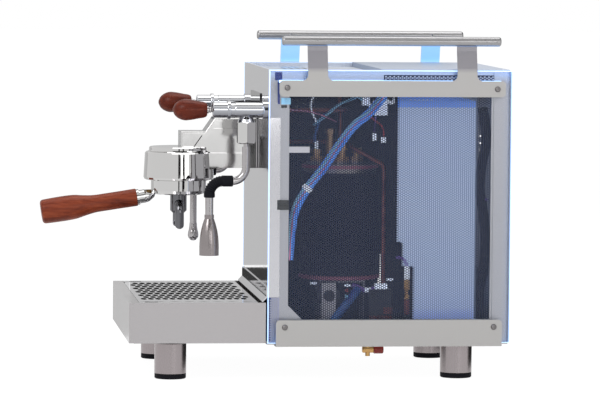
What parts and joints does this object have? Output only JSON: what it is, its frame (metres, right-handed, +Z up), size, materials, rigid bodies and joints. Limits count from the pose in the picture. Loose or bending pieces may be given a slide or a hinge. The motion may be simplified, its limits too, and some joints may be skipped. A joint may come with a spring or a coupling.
{
  "type": "espresso machine",
  "caption": "Boxy steel espresso machine with clear lit sides, a chrome group and portafilter, joystick taps with wands and a drip tray.",
  "frame": {"origin": "middle of the whole footprint, on the surface that the feet stand on", "axes": "front (group, handle and drip tray) faces -Y, +X is the user's right hand side, +Z up"},
  "size_m": [0.3334, 0.5843, 0.43],
  "materials": {
    "polished_steel": "mirror-polished stainless steel sheet",
    "satin_steel": "satin stainless steel",
    "brushed_steel": "brushed stainless steel tube",
    "chrome": "polished chrome plate",
    "stainless": "plain stainless steel",
    "clear_acrylic": "clear acrylic, polished edges lit blue",
    "screen_steel": "dark perforated steel",
    "light": "lit blue-white light bar",
    "rubber": "matt black rubber",
    "wood": "oiled reddish-brown hardwood",
    "black_gloss": "glossy black",
    "black_plastic": "matt black plastic",
    "boiler_steel": "stainless steel boiler",
    "jacket": "dark insulating jacket",
    "bracket_steel": "zinc-plated steel",
    "pump_body": "dark pump housing",
    "tank": "milky translucent plastic",
    "tank_blue": "blue plastic",
    "copper": "copper pipe",
    "brass": "brass",
    "red": "red plastic",
    "loom": "blue wires in a clear sleeve"
  },
  "bodies": {
    "chassis": {"base_plate": "satin_steel", "front_panel": "polished_steel", "back_panel": "satin_steel", "top_cover": "satin_steel", "side_frames": "satin_steel", "side_screens": "screen_steel", "side_glass": "clear_acrylic", "rail_brackets": "satin_steel", "cup_rails": "brushed_steel", "lower_trims": "satin_steel", "panel_screws": "stainless", "light_strips": "light", "foot_sleeves": "brushed_steel", "foot_pads": "rubber", "splash_plate": "polished_steel", "group_neck": "chrome", "group_bell": "chrome", "lock_ring": "brass", "group_gasket": "rubber", "shower_screen": "stainless", "valve_bodies": "chrome", "valve_caps": "chrome", "ball_nuts": "chrome", "touch_display": "black_gloss", "mains_inlet": "black_plastic", "drain_valve": "brass", "boilers": "boiler_steel", "boiler_jackets": "jacket", "inner_brackets": "bracket_steel", "pump": "pump_body", "control_box": "black_plastic", "water_tank": "tank", "tank_cap": "tank_blue", "copper_pipes": "copper", "wiring_loom": "loom"},
    "drip_tray": {"drip_tray": "satin_steel"},
    "drip_grid": {"drip_grid": "polished_steel"},
    "tank_lid": {"tank_lid": "satin_steel"},
    "portafilter": {"portafilter_body": "chrome", "portafilter_ferrule": "chrome", "portafilter_handle": "wood", "portafilter_spout": "chrome", "filter_basket": "stainless", "basket_spring": "stainless"},
    "power_rocker": {"power_rocker": "black_gloss"},
    "drain_knob": {"drain_knob": "red"},
    "gimbal_right": {"lever_gimbal_right": "brass"},
    "lever_right": {"lever_stem_right": "brushed_steel", "lever_knob_right": "wood"},
    "seat_right": {"wand_seat_right": "brass"},
    "wand_right": {"wand_pipe_right": "brushed_steel", "wand_grip_right": "rubber", "water_nozzle": "brushed_steel"},
    "gimbal_left": {"lever_gimbal_left": "brass"},
    "lever_left": {"lever_stem_left": "brushed_steel", "lever_knob_left": "wood"},
    "seat_left": {"wand_seat_left": "brass"},
    "wand_left": {"wand_pipe_left": "brushed_steel", "wand_grip_left": "rubber", "steam_tip": "brushed_steel"}
  },
  "joints": [
    {"name": "tray_slide", "type": "slide", "parent": "chassis", "child": "drip_tray", "axis": [0, -1, 0], "range_m": [0, 0.15]},
    {"name": "grid_lift", "type": "slide", "parent": "drip_tray", "child": "drip_grid", "axis": [0, 0, 1], "range_m": [0, 0.03]},
    {"name": "lid_lift", "type": "slide", "parent": "chassis", "child": "tank_lid", "axis": [0, 0, 1], "range_m": [0, 0.06]},
    {"name": "portafilter_turn", "type": "hinge", "parent": "chassis", "child": "portafilter", "pos_m": [0, -0.11539, 0.24895], "axis": [0, 0, 1], "range_deg": [-45, 0]},
    {"name": "power_rocker_tilt", "type": "hinge", "parent": "chassis", "child": "power_rocker", "pos_m": [-0.095, 0.28591, 0.106], "axis": [1, 0, 0], "range_deg": [0, 14]},
    {"name": "drain_turn", "type": "hinge", "parent": "chassis", "child": "drain_knob", "pos_m": [0.06, 0.12991, 0.029], "axis": [0, 1, 0], "range_deg": [0, 360]},
    {"name": "lever_right_updown", "type": "hinge", "parent": "chassis", "child": "gimbal_right", "pos_m": [0.12, -0.07309, 0.3364], "axis": [1, 0, 0], "range_deg": [-12, 12]},
    {"name": "lever_right_sideways", "type": "hinge", "parent": "gimbal_right", "child": "lever_right", "pos_m": [0.12, -0.07309, 0.3364], "axis": [0, 0, 1], "range_deg": [-12, 12]},
    {"name": "wand_right_swivel", "type": "hinge", "parent": "chassis", "child": "seat_right", "pos_m": [0.12, -0.04049, 0.303], "axis": [0, 0, 1], "range_deg": [-50, 50]},
    {"name": "wand_right_tilt", "type": "hinge", "parent": "seat_right", "child": "wand_right", "pos_m": [0.12, -0.04049, 0.303], "axis": [1, 0, 0], "range_deg": [-20, 5]},
    {"name": "lever_left_updown", "type": "hinge", "parent": "chassis", "child": "gimbal_left", "pos_m": [-0.12, -0.07309, 0.3364], "axis": [1, 0, 0], "range_deg": [-12, 12]},
    {"name": "lever_left_sideways", "type": "hinge", "parent": "gimbal_left", "child": "lever_left", "pos_m": [-0.12, -0.07309, 0.3364], "axis": [0, 0, 1], "range_deg": [-12, 12]},
    {"name": "wand_left_swivel", "type": "hinge", "parent": "chassis", "child": "seat_left", "pos_m": [-0.12, -0.04049, 0.303], "axis": [0, 0, 1], "range_deg": [-50, 50]},
    {"name": "wand_left_tilt", "type": "hinge", "parent": "seat_left", "child": "wand_left", "pos_m": [-0.12, -0.04049, 0.303], "axis": [1, 0, 0], "range_deg": [-20, 5]}
  ]
}
